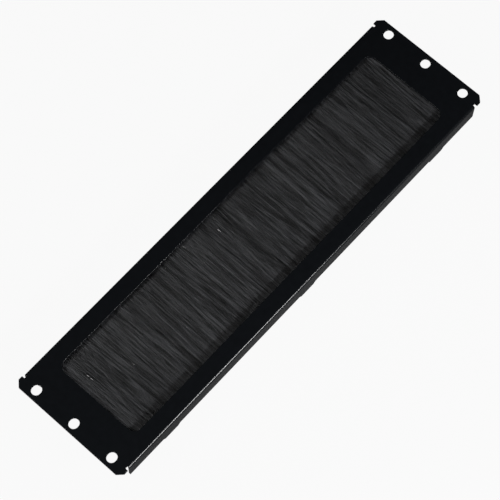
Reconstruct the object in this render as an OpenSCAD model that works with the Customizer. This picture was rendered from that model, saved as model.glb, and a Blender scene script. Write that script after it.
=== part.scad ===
// Rack brush strip panel: a folded steel front with a long cable window,
// closed by one wide strip brush that is held in a rail behind its lower edge.
//
// X runs along the panel, Y across it and Z out of its front face.
// The origin is the middle of the plane on which the bent ears stand.

/* [Front panel] */
// Overall length, over the two rack ends
panel_l = 482.6; // [475:0.1:520]
// Width over the two folded flanges
panel_w = 124; // [118:0.5:140]
// How far each rack end is wider than the folds, on either side
end_over = 0.4; // [0.2:0.1:2]
// Length of a rack end beyond the flanges
end_l = 12; // [11:0.1:14]
// Thickness of the sheet
sheet_t = 2; // [1.5:0.1:2.5]
// Inside radius of every fold
fold_r = 0.5; // [0.3:0.1:1.5]
// Depth of the flanges, from the front face
flange_d = 20; // [18:0.5:40]
// Width of the relief notch between a flange and a rack end
relief_w = 2.6; // [1.5:0.1:4]
// How far the relief notch runs past the start of the fold
relief_over = 0.1; // [0.1:0.1:1]
// Radius in the bottom corners of the relief notch
relief_r = 0.9; // [0.4:0.1:1]
// Cut across each outer corner
corner_cut = 5.2; // [2:0.1:8]

/* [Cable window] */
// Margin between the end of the panel and the window
window_in = 36.3; // [34.3:0.1:60]
// Margin between the outside of a flange and the window
window_side = 16.75; // [16:0.05:25]
// Corner radius of the window
window_r = 8; // [3:0.5:15]

/* [Rack slots] */
// Middle of the slots from the end of the panel
slot_in = 8.75; // [8.4:0.05:8.8]
// Pitch of the slots, one rack unit
slot_pitch = 44.45; // [40:0.05:48]
// Length of a slot, along the panel
slot_l = 10; // [9.6:0.1:12]
// Width of a slot
slot_w = 9; // [6:0.1:9.4]

/* [Ears] */
// Middle of the outer ears from the end of the brush
ear_in = 38; // [20:1:60]
// Depth of the ears behind the edge of the flange
ear_drop = 5; // [4:0.5:8]
// Width of an ear at its root, on the edge of the flange
ear_root = 21.5; // [16:0.5:30]
// How much each side of the root slopes in before the fold
ear_slope = 2.5; // [1:0.5:4]
// Reach of an ear, from the outside of the flange
ear_l = 14; // [12.5:0.5:20]
// Radius of the corners of an ear
ear_r = 3; // [1:0.5:4]

/* [Rail screws] */
// Outside diameter of the thread
screw_d = 3; // [2.5:0.1:3.3]
// Overall length
screw_l = 10; // [6:0.5:11]
// Diameter of the countersunk head
head_d = 5.9; // [5:0.1:6.2]
// Clearance hole through an ear
ear_hole_d = 3.4; // [3.2:0.1:4]
// Clearance between the head and its countersink
head_clear = 0.05; // [0.02:0.01:0.1]
// Distance of the screws from the inside of the flange
screw_in = 6; // [5.6:0.1:6.3]
// Width of the arms of the cross recess
recess_w = 0.9; // [0.6:0.1:1]
// Span of the cross recess
recess_l = 3.2; // [2.5:0.1:3.8]
// Depth of the cross recess
recess_d = 1.1; // [0.6:0.1:1.5]

/* [Brush rail] */
// Wall of the extruded rail
rail_t = 1.4; // [1:0.1:1.6]
// Thickness of the lips that keep the channel in the groove
lip_t = 1.2; // [1:0.1:2]
// Wall on either side of the screw port
port_wall = 1.5; // [1:0.1:1.8]
// Clearance between the rail and the flange
rail_side_gap = 0.5; // [0.5:0.1:0.9]
// Clearance between the rail and the back of the front face
rail_top_gap = 0.3; // [0.2:0.05:0.8]
// Clearance between the lips and the bristles
mouth_clear = 0.35; // [0.2:0.05:0.6]
// Clearance round the brush channel in the groove
groove_clear = 0.15; // [0.05:0.05:0.3]
// Clearance beside a screw in its port
port_clear = 0.05; // [0.02:0.01:0.1]

/* [Strip brush] */
// How far the brush runs past either end of the window
brush_over = 10; // [4:0.5:12]
// How far the bristles reach past the far side of the window
bristle_over = 6; // [2:0.5:10]
// Height of the steel channel that grips the bristles
channel_h = 6; // [5:0.1:7]
// Depth of the channel
channel_d = 6; // [5.5:0.1:7]
// Thickness of the channel
channel_t = 0.6; // [0.4:0.05:0.8]
// Inward crimp of the two edges of the channel
crimp = 0.5; // [0.2:0.05:0.6]
// Diameter of the core wire that the bristles fold round
wire_d = 1.6; // [1.2:0.1:2]
// Film of clearance between the bristles, the channel and the wire
fill_clear = 0.05; // [0.02:0.01:0.1]
// Pitch of the bristle bundles
bundle_pitch = 2; // [1.8:0.1:4]
// Share of the pitch that a bundle fills at its root
bundle_root = 0.85; // [0.6:0.01:0.9]
// Share of the pitch that a bundle fills at its tip
bundle_tip = 0.66; // [0.4:0.01:0.7]
// Thickness of one layer of bundles
layer_t = 1.05; // [0.8:0.05:1.1]
// Angle by which the outer layers fan away from the middle one
layer_fan = 0.5; // [0:0.1:0.8]
// Slow sideways lean of the bundles, at their tips
lean_slow = 5; // [0:0.5:6]
// Quick sideways lean of the bundles, at their tips
lean_quick = 1.2; // [0:0.1:1.4]
// Unevenness of the tips
tip_rough = 1.6; // [0:0.1:3]

/* [Hidden] */
$fn = 48;

// Slots in a column, and ears on a flange with one screw each
slot_n = 3;
ear_n = 3;
// Overlap of a cutting tool past the face that it cuts
cut = 1;

// Front panel: its depth, its flanges, the back of its face, its rack ends, the
// bottom of their relief notches, the window and the two columns of slots
panel_d = flange_d + ear_drop;
flange_l = panel_l - 2 * end_l;
flange_in = -panel_w / 2 + sheet_t;
fold_ro = fold_r + sheet_t;
face_back = panel_d - sheet_t;
end_w = panel_w + 2 * end_over;
relief_y = panel_w / 2 - fold_ro - relief_over;
window_l = panel_l - 2 * window_in;
window_w = panel_w - 2 * window_side;
slot_span = panel_l - 2 * slot_in;

// Brush and rail share one length, and the ears are spaced along it
brush_l = window_l + 2 * brush_over;
ear_pitch = brush_l / 2 - ear_in;

// Bristles inside the channel, and the neck where they leave it
fill_r = channel_h / 2 - channel_t - fill_clear;
neck_h = channel_h - 2 * channel_t - 2 * crimp - 2 * fill_clear;

// Rail: its back, its top, its groove and its head
rail_y = flange_in + rail_side_gap;
rail_top = face_back - rail_top_gap;
groove_h = channel_h + 2 * groove_clear;
groove_d = channel_d + 2 * groove_clear;
mouth_h = neck_h + 2 * mouth_clear;
head_h = groove_h + 2 * rail_t;
head_depth = rail_t + groove_d + lip_t;
head_z = rail_top - head_h;
// Line of the screws, and the port that they cut their thread in
screw_y = flange_in + screw_in;
port_w = screw_d + 2 * port_clear;

// Strip brush: its middle height, and the back and the mouth of its channel
brush_z = rail_top - head_h / 2;
channel_y = rail_y + rail_t + groove_clear;
channel_mouth = channel_y + channel_d;
wire_y = channel_y + channel_t + fill_clear + fill_r;
bristle_l = window_w / 2 + bristle_over - channel_mouth;
// Bundles grow from a short root bar that starts inside the channel
root_bar = 1;
bundle_n = floor(brush_l / bundle_pitch);
layer_step = (neck_h - layer_t) / 2;
// Waves of the lean, in bundles, and the phase between two layers, in degrees
wave_slow = 96;
wave_quick = 37;
layer_phase = 115;

// ---- helpers ----

// Draws a section, given in Y and Z, along X
module along_x(length) {
    rotate([90, 0, 90]) linear_extrude(length, center = true) children();
}

// Puts its children at n places along X
module row_x(n, pitch) {
    for (i = [0 : n - 1]) translate([(i - (n - 1) / 2) * pitch, 0, 0]) children();
}

// A rectangle with four true round corners
module round_rect(l, w, r) {
    square([l - 2 * r, w], center = true);
    square([l, w - 2 * r], center = true);
    for (sx = [-1, 1], sy = [-1, 1])
        translate([sx * (l / 2 - r), sy * (w / 2 - r)]) circle(r);
}

// A slot with round ends, along X
module slot_2d(l, w) {
    square([l - w, w], center = true);
    for (s = [-1, 1]) translate([s * (l - w) / 2, 0]) circle(d = w);
}

// A downward U, open at the bottom, with rounded top corners
module hood_2d(w, top, bottom, r) {
    translate([-w / 2, bottom]) square([w, top - bottom - r]);
    translate([-w / 2 + r, bottom]) square([w - 2 * r, top - bottom]);
    for (s = [-1, 1]) translate([s * (w / 2 - r), top - r]) circle(r);
}

// ---- front panel ----

// Flat rack end: two cut corners, two relief notches beside the flanges, and
// a neck that laps the flat of the folded strip
module rack_end_2d() {
    x0 = flange_l / 2;
    x1 = panel_l / 2;
    y1 = end_w / 2;
    difference() {
        polygon([[x0, -y1], [x1 - corner_cut, -y1], [x1, -y1 + corner_cut],
                 [x1, y1 - corner_cut], [x1 - corner_cut, y1], [x0, y1]]);
        for (s = [-1, 1]) translate([x0 + (relief_w - relief_r) / 2, s * y1])
            round_rect(relief_w + relief_r, 2 * (y1 - relief_y), relief_r);
    }
    translate([x0 - cut, -relief_y]) square([2 * cut, 2 * relief_y]);
}

// Folded strip: the face between the bends, the bends and the flanges
module folded_strip() {
    along_x(flange_l) difference() {
        hood_2d(panel_w, panel_d, ear_drop, fold_ro);
        hood_2d(panel_w - 2 * sheet_t, face_back, ear_drop - cut, fold_r);
    }
}

// One ear on the lower flange: sloped root, fold, and foot with its hole
module ear() {
    w = ear_root - 2 * ear_slope;
    y0 = -panel_w / 2;
    fold_y = y0 + fold_ro;
    slope_z = max(fold_ro, ear_drop - ear_slope);
    difference() {
        union() {
            translate([0, y0 + sheet_t, 0]) rotate([90, 0, 0]) linear_extrude(sheet_t) {
                translate([-w / 2, fold_ro]) square([w, ear_drop + cut - fold_ro]);
                polygon([[-w / 2, slope_z], [w / 2, slope_z], [ear_root / 2, ear_drop],
                         [ear_root / 2, ear_drop + cut], [-ear_root / 2, ear_drop + cut],
                         [-ear_root / 2, ear_drop]]);
            }
            along_x(w) intersection() {
                translate([fold_y, fold_ro]) difference() {
                    circle(fold_ro);
                    circle(fold_r);
                }
                translate([y0, 0]) square(fold_ro);
            }
            linear_extrude(sheet_t) foot_2d(w, fold_y, y0 + ear_l);
        }
        translate([0, screw_y, 0]) ear_hole();
    }
}

// Outline of the foot of an ear, round at its free corners
module foot_2d(w, y0, y1) {
    translate([-w / 2, y0]) square([w, y1 - y0 - ear_r]);
    translate([-w / 2 + ear_r, y0]) square([w - 2 * ear_r, y1 - y0]);
    for (s = [-1, 1]) translate([s * (w / 2 - ear_r), y1 - ear_r]) circle(ear_r);
}

// Countersunk hole, open at the back of the ear
module ear_hole() {
    sink_d = head_d + 2 * head_clear;
    translate([0, 0, -cut]) cylinder(d = ear_hole_d, h = sheet_t + 2 * cut);
    translate([0, 0, -cut]) cylinder(d = sink_d, h = cut + head_clear);
    translate([0, 0, head_clear])
        cylinder(d1 = sink_d, d2 = 0, h = sink_d / 2);
}

module front_panel() {
    color("#15161a") {
        difference() {
            union() {
                folded_strip();
                for (s = [0, 1]) mirror([s, 0, 0])
                    translate([0, 0, face_back]) linear_extrude(sheet_t) rack_end_2d();
            }
            translate([0, 0, face_back - cut]) linear_extrude(sheet_t + 2 * cut) {
                round_rect(window_l, window_w, window_r);
                for (s = [-1, 1]) translate([s * slot_span / 2, 0]) rotate(90)
                    row_x(slot_n, slot_pitch) rotate(90) slot_2d(slot_l, slot_w);
            }
        }
        for (s = [0, 1]) mirror([0, s, 0]) row_x(ear_n, ear_pitch) ear();
    }
}

// ---- rail and strip brush ----

// Extruded rail: web, grooved head, and the screw port below the head
module brush_rail() {
    color("#8d9094") along_x(brush_l) difference() {
        union() {
            translate([rail_y, sheet_t]) square([rail_t, rail_top - sheet_t]);
            translate([rail_y, head_z]) square([head_depth, head_h]);
            translate([screw_y - port_w / 2 - port_wall, sheet_t])
                square([port_w + 2 * port_wall, head_z - sheet_t + rail_t / 2]);
        }
        translate([screw_y - port_w / 2, sheet_t - cut])
            square([port_w, head_z - sheet_t + cut]);
        translate([rail_y + rail_t, brush_z - groove_h / 2]) square([groove_d, groove_h]);
        translate([rail_y + rail_t, brush_z - mouth_h / 2])
            square([groove_d + lip_t + cut, mouth_h]);
    }
}

// Steel channel, folded from strip, with its edges crimped on the bristles
module brush_channel() {
    inner_h = channel_h - 2 * channel_t;
    color("#8f9297") along_x(brush_l) translate([channel_y, brush_z]) difference() {
        translate([0, -channel_h / 2]) square([channel_d, channel_h]);
        translate([channel_t, -inner_h / 2])
            square([channel_d - 2 * channel_t, inner_h]);
        translate([channel_t, -inner_h / 2 + crimp]) square([channel_d, inner_h - 2 * crimp]);
    }
}

module core_wire() {
    color("#a7a9ad") along_x(brush_l) translate([wire_y, brush_z]) circle(d = wire_d);
}

// Folded roots of the bristles, packed round the core wire inside the channel
module bristle_roots() {
    along_x(brush_l) difference() {
        translate([wire_y, brush_z]) {
            circle(fill_r);
            translate([0, -fill_r])
                square([channel_mouth - channel_t - fill_clear - wire_y, 2 * fill_r]);
            translate([0, -neck_h / 2])
                square([channel_mouth + root_bar / 2 - wire_y, neck_h]);
        }
        translate([wire_y, brush_z]) circle(d = wire_d + 2 * fill_clear);
    }
}

// Sideways lean and length of one bundle
function lean(i, k) = lean_slow * sin(360 * i / wave_slow + k * layer_phase)
    + lean_quick * sin(360 * i / wave_quick + 2 * k * layer_phase);
function reach(i, k) = bristle_l + tip_rough * sin(i * 137 + k * 61) * cos(i * 59);

// One layer of bundles: a comb whose teeth lean and end unevenly
module bundle_layer(k) {
    x0 = -(bundle_n - 1) * bundle_pitch / 2;
    root = bundle_pitch * bundle_root / 2;
    tip = bundle_pitch * bundle_tip / 2;
    linear_extrude(layer_t, center = true) polygon(concat(
        [[x0 - root, -root_bar]],
        [for (i = [0 : bundle_n - 1]) let (x = x0 + i * bundle_pitch)
            each [[x - root, root_bar], [x + lean(i, k) - tip, reach(i, k)],
                  [x + lean(i, k) + tip, reach(i, k) - tip], [x + root, root_bar]]],
        [[-x0 + root, -root_bar]]
    ));
}

module bristles() {
    color("#2a2b2f") {
        bristle_roots();
        for (k = [-1 : 1]) translate([0, channel_mouth, brush_z + k * layer_step])
            rotate([k * layer_fan, 0, 0]) bundle_layer(k);
    }
}

// Countersunk screw, driven from behind, with a cross recess
module rail_screw(i) {
    cone_h = (head_d - screw_d) / 2;
    point_h = screw_d / 2;
    color("#77797d") translate([(i - (ear_n + 1) / 2) * ear_pitch, screw_y, head_clear])
        difference() {
            union() {
                cylinder(d1 = head_d, d2 = screw_d, h = cone_h);
                cylinder(d = screw_d, h = screw_l - point_h);
                translate([0, 0, screw_l - point_h])
                    cylinder(d1 = screw_d, d2 = screw_d / 3, h = point_h);
            }
            for (a = [0, 90]) rotate(a) translate([-recess_l / 2, -recess_w / 2, -cut])
                cube([recess_l, recess_w, recess_d + cut]);
        }
}

front_panel();
brush_rail();
brush_channel();
core_wire();
bristles();
rail_screw(1);  // rail_screw_1
rail_screw(2);  // rail_screw_2
rail_screw(3);  // rail_screw_3
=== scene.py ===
import math

import bmesh
import bpy
from mathutils import Matrix, Vector


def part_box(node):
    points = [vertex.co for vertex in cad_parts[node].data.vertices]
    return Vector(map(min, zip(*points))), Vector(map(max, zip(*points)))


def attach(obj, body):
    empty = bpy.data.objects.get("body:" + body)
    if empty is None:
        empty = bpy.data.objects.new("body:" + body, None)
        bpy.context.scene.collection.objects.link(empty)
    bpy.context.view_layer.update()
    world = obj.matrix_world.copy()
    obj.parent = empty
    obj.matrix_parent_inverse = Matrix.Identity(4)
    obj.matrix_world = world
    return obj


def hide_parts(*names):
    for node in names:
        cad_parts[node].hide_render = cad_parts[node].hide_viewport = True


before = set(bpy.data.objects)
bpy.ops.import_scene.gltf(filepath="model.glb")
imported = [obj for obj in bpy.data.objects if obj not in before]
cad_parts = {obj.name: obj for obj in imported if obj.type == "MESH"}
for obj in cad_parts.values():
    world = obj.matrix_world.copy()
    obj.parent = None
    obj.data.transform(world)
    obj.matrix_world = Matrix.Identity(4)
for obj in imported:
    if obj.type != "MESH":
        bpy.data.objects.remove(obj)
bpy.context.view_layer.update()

# Looks of a rack brush strip panel: the rounded, powder-coated sheet, the nylon
# strip brush and the metal parts that hold it. Everything is in metres, in the
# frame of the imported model, and rides on its one body.

MM = 0.001
BODY = "root"


# ---- places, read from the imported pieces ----

channel_low, channel_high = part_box("brush_channel")
wire_low, wire_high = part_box("core_wire")
brush_low, brush_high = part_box("bristles")

BRUSH_LENGTH = channel_high.x - channel_low.x
MOUTH_Y = channel_high.y
TIP_Y = brush_high.y
BRUSH_Z = (channel_low.z + channel_high.z) / 2
BRUSH_THICK = brush_high.z - brush_low.z

# The neck of the channel, where the bristles leave it, and the wall behind it
NECK = 3.6 * MM
CHANNEL_WALL = 0.65 * MM

SCREWS = ("rail_screw_1", "rail_screw_2", "rail_screw_3")

# Edges that turn more than this are rounded, apart from those of the ears' holes
SHARP = math.radians(30)
EAR_HOLE_EDGE = 3.3 * MM

# Pitch of the ridges that the folded roots make, and how far they end inside the channel
ROOT_RIDGE = 0.45 * MM
ROOT_END = 0.5 * MM


# ---- small helpers ----

def add_node(tree, kind, place=(0, 0), **settings):
    """A node of that kind. Settings are its properties, or its inputs' values by name."""
    node = tree.nodes.new(kind)
    node.location = place
    for name, value in settings.items():
        if hasattr(node, name):
            setattr(node, name, value)
        else:
            node.inputs[name.replace("_", " ")].default_value = value
    return node


def wire(tree, *pairs):
    """Joins each (output, input) pair of sockets."""
    for source, target in pairs:
        tree.links.new(source, target)


def finish_piece(piece, body, material):
    """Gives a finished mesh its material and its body."""
    piece.data.materials.clear()
    piece.data.materials.append(material)
    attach(piece, body)


def plain_mesh(piece):
    """Turns a piece and its modifiers into one plain mesh, in place."""
    view = bpy.context.evaluated_depsgraph_get()
    mesh = bpy.data.meshes.new_from_object(piece.evaluated_get(view), depsgraph=view)
    mesh.name = piece.name
    piece.modifiers.clear()
    piece.data = mesh
    return piece


def new_object(name, mesh):
    piece = bpy.data.objects.new(name, mesh)
    bpy.context.scene.collection.objects.link(piece)
    return piece


# ---- rounded sheet and metal pieces ----

def screw_axes():
    """Where the ears are drilled: at each screw, and opposite it on the spare ears."""
    axes = []
    for name in SCREWS:
        low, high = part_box(name)
        middle = (low + high) / 2
        axes += [(middle.x, middle.y), (middle.x, -middle.y)]
    return axes


def in_ear_hole(edge):
    """True for the edges of a countersunk hole, which are finished as they are cut."""
    return any(all(math.hypot(v.co.x - x, v.co.y - y) < EAR_HOLE_EDGE for v in edge.verts)
               for x, y in EAR_HOLES)


def rounded_copy(node_name, name, radius, steps, skip=None):
    """A copy of a CAD piece whose sharp edges are rounded, as a coat or a tumbler leaves them."""
    form = bmesh.new()
    form.from_mesh(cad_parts[node_name].data)
    bmesh.ops.remove_doubles(form, verts=form.verts, dist=0.001 * MM)
    bmesh.ops.dissolve_limit(form, angle_limit=math.radians(0.5),
                             verts=form.verts, edges=form.edges)
    weight = form.edges.layers.float.new("bevel_weight_edge")
    for edge in form.edges:
        sharp = edge.is_manifold and edge.calc_face_angle() > SHARP
        edge[weight] = 1.0 if sharp and not (skip and skip(edge)) else 0.0
    mesh = bpy.data.meshes.new(name)
    form.to_mesh(mesh)
    form.free()
    piece = new_object(name, mesh)
    bevel = piece.modifiers.new("edge radius", "BEVEL")
    bevel.width = radius
    bevel.segments = steps
    bevel.limit_method = "WEIGHT"
    bevel.use_clamp_overlap = False
    bevel.harden_normals = False
    plain_mesh(piece)
    piece.data.shade_smooth()
    weigh = piece.modifiers.new("flat faces stay flat", "WEIGHTED_NORMAL")
    weigh.keep_sharp = False
    plain_mesh(piece)
    return piece


# ---- bristles ----

class FieldMaths:
    """Short names for the maths nodes of one geometry tree."""

    def __init__(self, tree):
        self.tree = tree

    def put(self, socket, value):
        """Links a socket, or sets its plain value."""
        if isinstance(value, bpy.types.NodeSocket):
            self.tree.links.new(value, socket)
        else:
            socket.default_value = value

    def maths(self, operation, a, b=0.0):
        node = self.tree.nodes.new("ShaderNodeMath")
        node.operation = operation
        self.put(node.inputs[0], a)
        self.put(node.inputs[1], b)
        return node.outputs[0]

    def add(self, a, b):
        return self.maths("ADD", a, b)

    def sub(self, a, b):
        return self.maths("SUBTRACT", a, b)

    def mul(self, a, b):
        return self.maths("MULTIPLY", a, b)

    def div(self, a, b):
        return self.maths("DIVIDE", a, b)

    def power(self, a, b):
        return self.maths("POWER", a, b)

    def floor(self, a):
        return self.maths("FLOOR", a)

    def vector(self, x, y, z):
        node = self.tree.nodes.new("ShaderNodeCombineXYZ")
        for socket, value in zip(node.inputs, (x, y, z)):
            self.put(socket, value)
        return node.outputs[0]

    def random(self, low, high, number, seed):
        """An even random number for each whole number."""
        node = self.tree.nodes.new("FunctionNodeRandomValue")
        node.data_type = "FLOAT"
        names = {socket.identifier: socket for socket in node.inputs}
        self.put(names["Min_001"], low)
        self.put(names["Max_001"], high)
        self.put(names["ID"], number)
        self.put(names["Seed"], seed)
        return next(o for o in node.outputs if o.identifier == "Value_001")

    def noise(self, vector):
        """Smooth noise from about -1 to 1, one wave for each unit of the vector."""
        node = self.tree.nodes.new("ShaderNodeTexNoise")
        node.inputs["Scale"].default_value = 1.0
        node.inputs["Detail"].default_value = 0.0
        self.put(node.inputs["Vector"], vector)
        return self.mul(self.sub(node.outputs["Fac"], 0.5), 2.6)

    def read(self, name):
        node = self.tree.nodes.new("GeometryNodeInputNamedAttribute")
        node.data_type = "FLOAT"
        node.inputs["Name"].default_value = name
        return node.outputs["Attribute"]

    def store(self, geometry, name, value):
        node = self.tree.nodes.new("GeometryNodeStoreNamedAttribute")
        node.data_type = "FLOAT"
        node.domain = "POINT"
        node.inputs["Name"].default_value = name
        self.tree.links.new(geometry, node.inputs["Geometry"])
        self.put(node.inputs["Value"], value)
        return node.outputs["Geometry"]


BRISTLE_SIZES = (
    ("Brush Length", "NodeSocketFloat"), ("Root Y", "NodeSocketFloat"),
    ("Root Z", "NodeSocketFloat"), ("Root Thickness", "NodeSocketFloat"),
    ("Tip Z", "NodeSocketFloat"), ("Tip Thickness", "NodeSocketFloat"),
    ("Bristle Length", "NodeSocketFloat"), ("Tip Unevenness", "NodeSocketFloat"),
    ("Diameter", "NodeSocketFloat"), ("Columns", "NodeSocketInt"),
    ("Rows", "NodeSocketInt"), ("Steps", "NodeSocketInt"),
    ("Tuft Pitch", "NodeSocketFloat"), ("Tuft Lean", "NodeSocketFloat"),
    ("Clump Pitch", "NodeSocketFloat"), ("Clump Pull", "NodeSocketFloat"),
    ("Clump Lean", "NodeSocketFloat"), ("Clump Lift", "NodeSocketFloat"),
    ("Arch", "NodeSocketFloat"), ("Lean", "NodeSocketFloat"), ("Stray", "NodeSocketFloat"),
    ("Wave", "NodeSocketFloat"), ("Seed", "NodeSocketInt"),
)


def bristle_tree(material):
    """Rows of nylon filaments that leave the channel, gather in clumps and end unevenly."""
    tree = bpy.data.node_groups.new("strip_brush", "GeometryNodeTree")
    for name, kind in BRISTLE_SIZES:
        tree.interface.new_socket(name, in_out="INPUT", socket_type=kind)
    tree.interface.new_socket("Geometry", in_out="OUTPUT", socket_type="NodeSocketGeometry")
    size = tree.nodes.new("NodeGroupInput").outputs
    f = FieldMaths(tree)

    index = tree.nodes.new("GeometryNodeInputIndex").outputs[0]
    row = f.floor(f.div(f.add(index, 0.5), size["Columns"]))
    column = f.sub(index, f.mul(row, size["Columns"]))
    jitter_x = f.random(-0.9, 0.9, index, size["Seed"])
    jitter_z = f.random(-0.5, 0.5, index, f.add(size["Seed"], 1))
    share_x = f.sub(f.div(f.add(f.add(column, 0.5), jitter_x), size["Columns"]), 0.5)
    depth = f.sub(f.div(f.add(f.add(row, 0.5), jitter_z), size["Rows"]), 0.5)
    root_x = f.mul(share_x, size["Brush Length"])
    root_z = f.add(size["Root Z"], f.mul(depth, size["Root Thickness"]))

    points = tree.nodes.new("GeometryNodePoints")
    f.put(points.inputs["Count"], f.mul(size["Columns"], size["Rows"]))
    f.put(points.inputs["Position"], f.vector(root_x, size["Root Y"], root_z))
    roots = f.store(points.outputs["Points"], "root_x", root_x)
    roots = f.store(roots, "depth", depth)
    roots = f.store(roots, "strand", f.random(0.0, 1.0, index, f.add(size["Seed"], 2)))
    roots = f.store(roots, "stray", f.random(-1.0, 1.0, index, f.add(size["Seed"], 3)))
    reach = f.mul(f.random(-1.0, 1.0, index, f.add(size["Seed"], 4)), size["Tip Unevenness"])
    roots = f.store(roots, "reach", reach)

    line = tree.nodes.new("GeometryNodeCurvePrimitiveLine")
    f.put(line.inputs["End"], f.vector(0.0, size["Bristle Length"], 0.0))
    steps = tree.nodes.new("GeometryNodeResampleCurve")
    f.put(steps.inputs["Curve"], line.outputs["Curve"])
    f.put(steps.inputs["Count"], f.add(size["Steps"], 1))
    place = tree.nodes.new("GeometryNodeInstanceOnPoints")
    wire(tree, (roots, place.inputs["Points"]),
         (steps.outputs["Curve"], place.inputs["Instance"]))
    strands = tree.nodes.new("GeometryNodeRealizeInstances")
    wire(tree, (place.outputs["Instances"], strands.inputs["Geometry"]))

    along = tree.nodes.new("GeometryNodeSplineParameter").outputs["Factor"]
    x = f.read("root_x")
    deep = f.read("depth")
    strand = f.read("strand")
    stray = f.read("stray")
    seed = f.mul(size["Seed"], 7.3)

    # clumps: strands draw towards the middle of their own clump, more at the tip
    bend = f.mul(f.noise(f.vector(f.div(x, 9 * MM), deep, seed)), 0.8)
    clump_place = f.add(f.div(x, size["Clump Pitch"]), f.add(bend, f.mul(deep, 3.7)))
    clump = f.floor(clump_place)
    off_centre = f.sub(f.sub(clump_place, clump), 0.5)
    own_pull = f.random(0.3, 1.0, clump, f.add(size["Seed"], 5))
    pull = f.mul(f.mul(f.power(along, 0.8), own_pull), size["Clump Pull"])
    gather = f.mul(f.mul(off_centre, pull), f.mul(size["Clump Pitch"], -1.0))
    clump_lean = f.mul(f.random(-1.0, 1.0, clump, f.add(size["Seed"], 6)), size["Clump Lean"])
    tuft = f.floor(f.add(f.div(x, size["Tuft Pitch"]), f.add(bend, f.mul(deep, 1.7))))
    tuft_lean = f.mul(f.random(-1.0, 1.0, tuft, f.add(size["Seed"], 7)), size["Tuft Lean"])

    # slow lean of whole stretches, and a few single strands that cross the others
    slow = f.noise(f.vector(f.div(x, 60 * MM), f.mul(deep, 0.8), f.add(seed, 2.0)))
    whole_lean = f.add(f.mul(slow, size["Lean"]), f.add(tuft_lean, clump_lean))
    lean = f.mul(whole_lean, f.power(along, 1.15))
    cube = f.mul(f.mul(stray, stray), stray)
    wander = f.mul(f.mul(f.mul(cube, cube), cube), f.mul(along, size["Stray"]))
    y_wave = f.add(f.mul(along, 2.6), f.mul(strand, 0.35))
    sway = f.noise(f.vector(f.div(x, 3.0 * MM), y_wave, f.add(seed, 9.0)))
    sway = f.mul(f.mul(sway, size["Wave"]), f.power(along, 0.7))
    shift_x = f.add(f.add(gather, lean), f.add(wander, sway))

    lift = f.noise(f.vector(f.div(x, 2.2 * MM), y_wave, f.add(seed, 31.0)))
    lift = f.mul(f.mul(lift, size["Wave"]), f.power(along, 0.5))
    root_side = f.mul(deep, size["Root Thickness"])
    tip_side = f.mul(deep, size["Tip Thickness"])
    rise = f.add(f.sub(size["Tip Z"], size["Root Z"]), f.sub(tip_side, root_side))
    bow = f.mul(f.mul(f.mul(along, f.sub(1.0, along)), 4.0), size["Arch"])
    clump_lift = f.mul(f.random(-1.0, 1.0, clump, f.add(size["Seed"], 8)), size["Clump Lift"])
    raised = f.add(f.mul(clump_lift, f.power(along, 0.5)), f.add(lift, bow))
    shift_z = f.add(f.mul(rise, along), raised)
    shift_y = f.mul(f.read("reach"), along)

    # tone: each clump and each strand is a little lighter or darker at random; a noise along each
    # strand adds painted sheen, lighter and darker patches that stand in for strands tilting into
    # and away from the light
    sheen_patch_place = f.vector(f.div(x, 0.8 * MM), f.add(f.mul(along, 7.0), deep), f.add(seed, 50.0))
    clump_tone = f.random(0.0, 1.0, clump, f.add(size["Seed"], 9))
    tone = f.add(f.mul(clump_tone, 0.22), f.mul(strand, 0.2))
    # this noise term is painted sheen along the strand's length, not the nylon's own colour
    tone = f.add(tone, f.mul(f.add(f.mul(f.noise(sheen_patch_place), 0.7), 0.5), 0.58))
    toned = f.store(strands.outputs["Geometry"], "tone", tone)

    move = tree.nodes.new("GeometryNodeSetPosition")
    wire(tree, (toned, move.inputs["Geometry"]),
         (f.vector(shift_x, shift_y, shift_z), move.inputs["Offset"]))
    taper = tree.nodes.new("GeometryNodeSetCurveRadius")
    wire(tree, (move.outputs["Geometry"], taper.inputs["Curve"]),
         (f.sub(1.0, f.mul(f.power(along, 6.0), 0.4)), taper.inputs["Radius"]))
    section = tree.nodes.new("GeometryNodeCurvePrimitiveCircle")
    section.inputs["Resolution"].default_value = 3
    f.put(section.inputs["Radius"], f.div(size["Diameter"], 2.0))
    tubes = tree.nodes.new("GeometryNodeCurveToMesh")
    tubes.inputs["Fill Caps"].default_value = True
    wire(tree, (taper.outputs["Curve"], tubes.inputs["Curve"]),
         (section.outputs["Curve"], tubes.inputs["Profile Curve"]))
    smooth = tree.nodes.new("GeometryNodeSetShadeSmooth")
    whole = tree.nodes.new("GeometryNodeRealizeInstances")
    dress = tree.nodes.new("GeometryNodeSetMaterial")
    dress.inputs["Material"].default_value = material
    output = tree.nodes.new("NodeGroupOutput")
    wire(tree, (tubes.outputs["Mesh"], smooth.inputs["Geometry"]),
         (smooth.outputs["Geometry"], whole.inputs["Geometry"]),
         (whole.outputs["Geometry"], dress.inputs["Geometry"]),
         (dress.outputs["Geometry"], output.inputs["Geometry"]))
    return tree


def grow_bristles(name, tree, sizes):
    """Runs the strip brush tree with its own sizes and keeps the plain mesh."""
    piece = new_object(name, bpy.data.meshes.new(name))
    grow = piece.modifiers.new("strip brush", "NODES")
    grow.node_group = tree
    for item in tree.interface.items_tree:
        if item.in_out == "INPUT" and item.name in sizes:
            grow[item.identifier] = sizes[item.name]
    return plain_mesh(piece)


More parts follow.
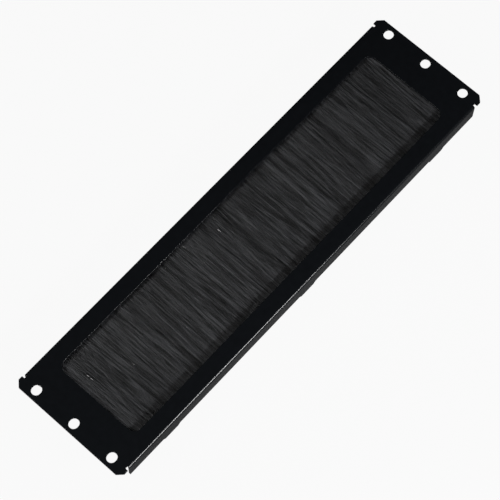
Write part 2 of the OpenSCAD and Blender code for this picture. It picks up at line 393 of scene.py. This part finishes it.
def root_pack(name):
    """The folded roots of the bristles: a ridged bar round the core wire, inside the channel."""
    wire_y = (wire_low.y + wire_high.y) / 2
    round_r = (channel_high.z - channel_low.z) / 2 - CHANNEL_WALL
    arc = [(wire_y - round_r * math.sin(math.radians(a)), round_r * math.cos(math.radians(a)))
           for a in range(0, 181, 20)]
    lip = MOUTH_Y - CHANNEL_WALL
    half = NECK / 2 - 0.05 * MM
    outline = arc + [(lip, -round_r), (lip, -half), (MOUTH_Y + 0.3 * MM, -half),
                     (MOUTH_Y + 0.3 * MM, half), (lip, half), (lip, round_r)]
    form = bmesh.new()
    count = int(BRUSH_LENGTH / ROOT_RIDGE)
    rings = []
    for i in range(count + 1):
        x = channel_low.x + ROOT_END + (BRUSH_LENGTH - 2 * ROOT_END) * i / count
        share = 1.0 if i % 2 else 0.965
        rings.append([form.verts.new((x, wire_y + (y - wire_y) * share, BRUSH_Z + z * share))
                      for y, z in outline])
    size = len(outline)
    for low, high in zip(rings, rings[1:]):
        for k in range(size):
            form.faces.new((low[k], low[(k + 1) % size], high[(k + 1) % size], high[k]))
    form.faces.new(rings[0])
    form.faces.new(rings[-1])
    bmesh.ops.recalc_face_normals(form, faces=form.faces)
    mesh = bpy.data.meshes.new(name)
    form.to_mesh(mesh)
    form.free()
    tone = mesh.attributes.new("tone", "FLOAT", "POINT")
    tone.data.foreach_set("value", [0.45 if (i // size) % 2 else 0.6
                                    for i in range(len(mesh.vertices))])
    return new_object(name, mesh)


# ---- finishes ----

COAT_DARK = (0.0026, 0.0032, 0.0041, 1)
COAT_LIGHT = (0.0034, 0.0041, 0.0052, 1)
# The nylon's dark and light colours are reached both by random tone and by painted sheen along the
# strands
NYLON_DARK = (0.0015, 0.0016, 0.0019, 1)
NYLON_LIGHT = (0.062, 0.0635, 0.0680, 1)


def new_material(name):
    material = bpy.data.materials.new(name)
    material.use_nodes = True
    tree = material.node_tree
    tree.nodes.clear()
    output = add_node(tree, "ShaderNodeOutputMaterial", (600, 0))
    surface = add_node(tree, "ShaderNodeBsdfPrincipled", (300, 0))
    wire(tree, (surface.outputs["BSDF"], output.inputs["Surface"]))
    return material, tree, surface


def mottle_group():
    """Fine cloudy unevenness: a level from 0 to 1 and the height of its grain."""
    tree = bpy.data.node_groups.new("fine_mottle", "ShaderNodeTree")
    tree.interface.new_socket("Cloud Scale", in_out="INPUT", socket_type="NodeSocketFloat")
    tree.interface.new_socket("Grain Scale", in_out="INPUT", socket_type="NodeSocketFloat")
    tree.interface.new_socket("Level", in_out="OUTPUT", socket_type="NodeSocketFloat")
    tree.interface.new_socket("Grain", in_out="OUTPUT", socket_type="NodeSocketFloat")
    scales = add_node(tree, "NodeGroupInput", (-900, 0))
    place = add_node(tree, "ShaderNodeTexCoord", (-900, 300))
    cloud = add_node(tree, "ShaderNodeTexNoise", (-600, 200), Detail=3.0)
    grain = add_node(tree, "ShaderNodeTexNoise", (-600, -200), Detail=2.0)
    spread = add_node(tree, "ShaderNodeMapRange", (-300, 200))
    spread.inputs["From Min"].default_value = 0.3
    spread.inputs["From Max"].default_value = 0.7
    result = add_node(tree, "NodeGroupOutput", (0, 0))
    wire(tree, (place.outputs["Object"], cloud.inputs["Vector"]),
         (place.outputs["Object"], grain.inputs["Vector"]),
         (scales.outputs["Cloud Scale"], cloud.inputs["Scale"]),
         (scales.outputs["Grain Scale"], grain.inputs["Scale"]),
         (cloud.outputs["Fac"], spread.inputs["Value"]),
         (spread.outputs["Result"], result.inputs["Level"]),
         (grain.outputs["Fac"], result.inputs["Grain"]))
    return tree


def drawn_group():
    """Long fine lines along the piece, as a die leaves them on rail, strip and wire."""
    tree = bpy.data.node_groups.new("drawn_lines", "ShaderNodeTree")
    tree.interface.new_socket("Line Scale", in_out="INPUT", socket_type="NodeSocketFloat")
    tree.interface.new_socket("Lines", in_out="OUTPUT", socket_type="NodeSocketFloat")
    scales = add_node(tree, "NodeGroupInput", (-900, 0))
    place = add_node(tree, "ShaderNodeTexCoord", (-900, 300))
    long_x = add_node(tree, "ShaderNodeMapping", (-600, 300))
    long_x.inputs["Scale"].default_value = (0.012, 1.0, 1.0)
    lines = add_node(tree, "ShaderNodeTexNoise", (-300, 200), Detail=3.0)
    result = add_node(tree, "NodeGroupOutput", (0, 0))
    wire(tree, (place.outputs["Object"], long_x.inputs["Vector"]),
         (long_x.outputs["Vector"], lines.inputs["Vector"]),
         (scales.outputs["Line Scale"], lines.inputs["Scale"]),
         (lines.outputs["Fac"], result.inputs["Lines"]))
    return tree


def put_group(tree, group, place, **scales):
    node = add_node(tree, "ShaderNodeGroup", place, node_tree=group)
    for name, value in scales.items():
        node.inputs[name.replace("_", " ")].default_value = value
    return node


def vary(tree, level, socket, low, high):
    """Lets a level from 0 to 1 move a number between two values."""
    span = add_node(tree, "ShaderNodeMapRange", (-200, -100))
    span.inputs["To Min"].default_value = low
    span.inputs["To Max"].default_value = high
    wire(tree, (level, span.inputs["Value"]), (span.outputs["Result"], socket))


def blend_colours(tree, level, socket, dark, light):
    """Lets a level from 0 to 1 move a colour between two colours."""
    mix = add_node(tree, "ShaderNodeMix", (-200, 200), data_type="RGBA")
    colours = [i for i in mix.inputs if i.type == "RGBA"]
    colours[0].default_value = dark
    colours[1].default_value = light
    result = next(o for o in mix.outputs if o.type == "RGBA")
    wire(tree, (level, mix.inputs[0]), (result, socket))


def raise_grain(tree, surface, height, strength, depth):
    bump = add_node(tree, "ShaderNodeBump", (0, -300), Strength=strength, Distance=depth)
    wire(tree, (height, bump.inputs["Height"]), (bump.outputs["Normal"], surface.inputs["Normal"]))


def powder_coat():
    """Satin black powder on the folded steel, with a fine even grain."""
    material, tree, surface = new_material("black_powder_coat")
    skin = put_group(tree, mottle, (-600, 0), Cloud_Scale=160.0, Grain_Scale=1400.0)
    blend_colours(tree, skin.outputs["Level"], surface.inputs["Base Color"],
                  COAT_DARK, COAT_LIGHT)
    vary(tree, skin.outputs["Grain"], surface.inputs["Roughness"], 0.2, 0.28)
    raise_grain(tree, surface, skin.outputs["Grain"], 0.2, 0.05 * MM)
    surface.inputs["Specular IOR Level"].default_value = 0.35
    return material


def nylon():
    """Black nylon, lighter or darker with each strand's tone, which is partly random and partly
    painted sheen along the strand.
    """
    material, tree, surface = new_material("black_nylon")
    tone = add_node(tree, "ShaderNodeAttribute", (-900, 0), attribute_name="tone")
    curve = add_node(tree, "ShaderNodeMapRange", (-600, 0), interpolation_type="SMOOTHSTEP")
    curve.inputs["From Min"].default_value = 0.36
    curve.inputs["From Max"].default_value = 0.72
    wire(tree, (tone.outputs["Fac"], curve.inputs["Value"]))
    blend_colours(tree, curve.outputs["Result"], surface.inputs["Base Color"],
                  NYLON_DARK, NYLON_LIGHT)
    vary(tree, tone.outputs["Fac"], surface.inputs["Roughness"], 0.5, 0.36)
    return material


def drawn_metal(name, dark, light, rough_low, rough_high, line_scale):
    """Rail, strip or wire: long drawn lines over a faint cloud."""
    material, tree, surface = new_material(name)
    marks = put_group(tree, drawn, (-600, 0), Line_Scale=line_scale)
    skin = put_group(tree, mottle, (-600, -300), Cloud_Scale=220.0, Grain_Scale=2600.0)
    blend_colours(tree, skin.outputs["Level"], surface.inputs["Base Color"], dark, light)
    vary(tree, marks.outputs["Lines"], surface.inputs["Roughness"], rough_low, rough_high)
    raise_grain(tree, surface, marks.outputs["Lines"], 0.3, 0.03 * MM)
    surface.inputs["Metallic"].default_value = 1.0
    return material


def plated_metal(name, dark, light, rough_low, rough_high):
    """Zinc on a turned screw: a cloudy bright skin."""
    material, tree, surface = new_material(name)
    skin = put_group(tree, mottle, (-600, 0), Cloud_Scale=900.0, Grain_Scale=5000.0)
    blend_colours(tree, skin.outputs["Level"], surface.inputs["Base Color"], dark, light)
    vary(tree, skin.outputs["Level"], surface.inputs["Roughness"], rough_low, rough_high)
    raise_grain(tree, surface, skin.outputs["Grain"], 0.15, 0.01 * MM)
    surface.inputs["Metallic"].default_value = 1.0
    return material


# ---- studio ----

# Half the side of the floor, and how far it is plain white to the camera
FLOOR_REACH = 3.0
FLOOR_WHITE = 0.94


def make_camera():
    """Long lens from above the near left corner, as the panel is pictured."""
    eye = Vector((-0.524577, -0.428279, 1.677191))
    aim = Vector((-0.013151, -0.004376, 0.025))
    roll = math.radians(2.509)
    forward = (aim - eye).normalized()
    across = forward.cross(Vector((0, 0, 1))).normalized()
    above = across.cross(forward)
    right = across * math.cos(roll) + above * math.sin(roll)
    up = above * math.cos(roll) - across * math.sin(roll)
    turn = Matrix((right, up, -forward)).transposed()
    data = bpy.data.cameras.new("camera")
    data.sensor_width = 36
    data.lens = 145.28
    camera = bpy.data.objects.new("camera", data)
    camera.matrix_world = Matrix.Translation(eye) @ turn.to_4x4()
    bpy.context.scene.collection.objects.link(camera)
    bpy.context.scene.camera = camera


def soft_box(name, place, aim, width, height, power):
    """A rectangular soft lamp that faces its aim."""
    data = bpy.data.lights.new(name, "AREA")
    data.shape = "RECTANGLE"
    data.size = width
    data.size_y = height
    data.energy = power
    lamp = bpy.data.objects.new(name, data)
    away = Vector(place) - Vector(aim)
    lamp.location = place
    lamp.rotation_euler = away.to_track_quat("Z", "Y").to_euler()
    bpy.context.scene.collection.objects.link(lamp)
    return lamp


def make_floor():
    """A pale floor: nearly white to the camera, with a faint shadow, and darker to the light."""
    mesh = bpy.data.meshes.new("floor")
    far = FLOOR_REACH
    corners = [(-far, -far, 0), (far, -far, 0), (far, far, 0), (-far, far, 0)]
    mesh.from_pydata(corners, [], [(0, 1, 2, 3)])
    floor = new_object("floor", mesh)
    material = bpy.data.materials.new("pale_floor")
    material.use_nodes = True
    tree = material.node_tree
    tree.nodes.clear()
    output = add_node(tree, "ShaderNodeOutputMaterial", (600, 0))
    paint = add_node(tree, "ShaderNodeBsdfDiffuse", (0, 0), Color=(0.15, 0.15, 0.15, 1))
    glow = add_node(tree, "ShaderNodeEmission", (0, -200), Color=(1, 1, 1, 1), Strength=1.0)
    path = add_node(tree, "ShaderNodeLightPath", (-400, 200))
    share = add_node(tree, "ShaderNodeMath", (-200, 200), operation="MULTIPLY")
    share.inputs[1].default_value = FLOOR_WHITE
    mix = add_node(tree, "ShaderNodeMixShader", (300, 0))
    wire(tree, (path.outputs["Is Camera Ray"], share.inputs[0]),
         (share.outputs["Value"], mix.inputs["Fac"]),
         (paint.outputs["BSDF"], mix.inputs[1]),
         (glow.outputs["Emission"], mix.inputs[2]),
         (mix.outputs["Shader"], output.inputs["Surface"]))
    mesh.materials.append(material)


def make_world():
    """A dim room round the panel, white where the camera sees it."""
    world = bpy.data.worlds.new("studio")
    bpy.context.scene.world = world
    world.use_nodes = True
    tree = world.node_tree
    tree.nodes.clear()
    output = add_node(tree, "ShaderNodeOutputWorld", (600, 0))
    room = add_node(tree, "ShaderNodeBackground", (0, 0), Color=(1, 1, 1, 1), Strength=0.042)
    white = add_node(tree, "ShaderNodeBackground", (0, -200), Color=(1, 1, 1, 1), Strength=1.0)
    path = add_node(tree, "ShaderNodeLightPath", (-400, 200))
    mix = add_node(tree, "ShaderNodeMixShader", (300, 0))
    wire(tree, (path.outputs["Is Camera Ray"], mix.inputs["Fac"]),
         (room.outputs["Background"], mix.inputs[1]),
         (white.outputs["Background"], mix.inputs[2]),
         (mix.outputs["Shader"], output.inputs["Surface"]))


def light_studio():
    """A strip lamp that draws the line on the near fold, and a main lamp from the far side."""
    soft_box("strip_box", (0.0, -0.75, 0.42), (0.0, -0.06, 0.02), 0.52, 0.10, 11.0)
    soft_box("main_box", (-0.72, 0.46, 0.75), (0.0, 0.0, 0.02), 0.5, 0.4, 5.2)


# ---- the part ----

make_camera()
make_floor()
make_world()
light_studio()

mottle = mottle_group()
drawn = drawn_group()
coat = powder_coat()
bristle_nylon = nylon()
aluminium = drawn_metal("rail_aluminium", (0.50, 0.51, 0.53, 1), (0.58, 0.59, 0.60, 1),
                        0.28, 0.45, 2600.0)
galvanised = drawn_metal("galvanised_steel", (0.38, 0.39, 0.41, 1), (0.52, 0.53, 0.55, 1),
                         0.32, 0.5, 1800.0)
zinc = plated_metal("zinc_plate", (0.42, 0.43, 0.45, 1), (0.56, 0.57, 0.60, 1), 0.24, 0.38)

EAR_HOLES = screw_axes()
panel = rounded_copy("front_panel", "folded_panel", 0.25 * MM, 3, in_ear_hole)
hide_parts("front_panel")
finish_piece(panel, BODY, coat)

brush_tree = bristle_tree(bristle_nylon)
brush = {
    "Brush Length": BRUSH_LENGTH - 0.6 * MM,
    "Root Y": MOUTH_Y - 2.0 * MM,
    "Root Z": BRUSH_Z,
    "Root Thickness": NECK,
    "Tip Z": BRUSH_Z,
    "Tip Thickness": BRUSH_THICK - 0.6 * MM,
    "Bristle Length": TIP_Y - MOUTH_Y + 0.4 * MM,
    "Tip Unevenness": 1.2 * MM,
    "Diameter": 0.34 * MM,
    "Tuft Pitch": 7.0 * MM,
    "Tuft Lean": 4.5 * MM,
    "Clump Pitch": 1.3 * MM,
    "Clump Pull": 0.6,
    "Clump Lean": 2.0 * MM,
    "Clump Lift": 0.35 * MM,
    "Arch": 0.5 * MM,
    "Lean": 3.5 * MM,
    "Stray": 14.0 * MM,
    "Wave": 0.35 * MM,
}
LAYERS = 4
layer_thick = NECK / LAYERS
for layer in range(LAYERS):
    level = (layer + 0.5) / LAYERS - 0.5
    own = {
        "Root Z": brush["Root Z"] + level * NECK,
        "Root Thickness": layer_thick,
        "Tip Z": brush["Tip Z"] + level * brush["Tip Thickness"],
        "Tip Thickness": brush["Tip Thickness"] / LAYERS,
        "Columns": 1230,
        "Rows": 3,
        "Steps": 8,
        "Seed": 11 + 10 * layer,
    }
    bunch = grow_bristles(f"bristles_{layer + 1}", brush_tree, {**brush, **own})
    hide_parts("bristles")
    finish_piece(bunch, BODY, bristle_nylon)

roots = root_pack("bristle_roots")
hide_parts("bristles")
finish_piece(roots, BODY, bristle_nylon)

for node_name, name, slot, material in (
        ("brush_rail", "drawn_rail", "rail_aluminium", aluminium),
        ("brush_channel", "crimped_channel", "galvanised_steel", galvanised)):
    piece = rounded_copy(node_name, name, 0.15 * MM, 2)
    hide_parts(node_name)
    finish_piece(piece, BODY, material)

for number, node_name in enumerate(SCREWS, 1):
    screw = rounded_copy(node_name, f"countersunk_screw_{number}", 0.06 * MM, 2)
    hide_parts(node_name)
    finish_piece(screw, BODY, zinc)

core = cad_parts["core_wire"].data
core.materials.clear()
core.materials.append(galvanised)

bpy.context.scene.view_settings.view_transform = "Standard"
bpy.context.view_layer.update()
